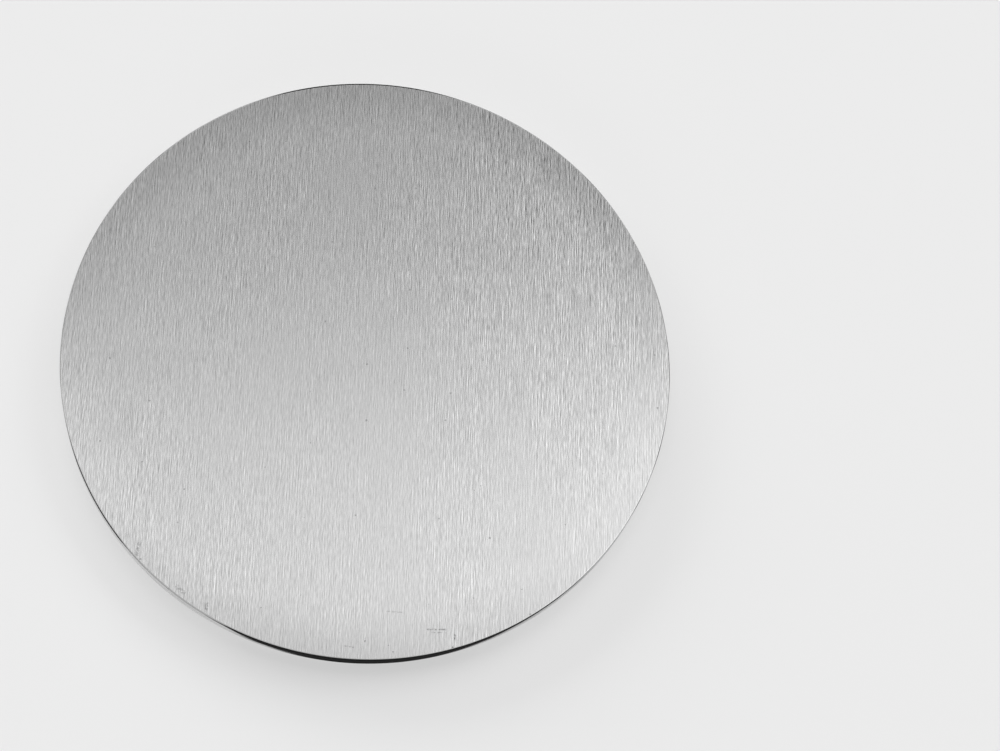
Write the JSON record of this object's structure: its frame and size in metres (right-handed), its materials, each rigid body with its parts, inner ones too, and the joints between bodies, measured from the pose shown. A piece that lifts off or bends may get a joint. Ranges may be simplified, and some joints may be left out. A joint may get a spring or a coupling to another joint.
{
  "type": "sputtering target",
  "caption": "Thin round planar sputtering target: a solid alloy disc, ground flat on both faces with a straight grain, with a plain rim and slightly rounded edges.",
  "frame": {"origin": "centre of the back face, the face that lies on the cathode or the bench", "axes": "+Z out of the front face, the one that is sputtered; +Y along the grinding grain; +X across it"},
  "size_m": [0.1016, 0.1016, 0.003],
  "materials": {
    "target_alloy": "flat faces ground with short straight strokes, satin; rim as cut, dark and matt"
  },
  "bodies": {
    "root": {"target_disc": "target_alloy"}
  },
  "joints": []
}
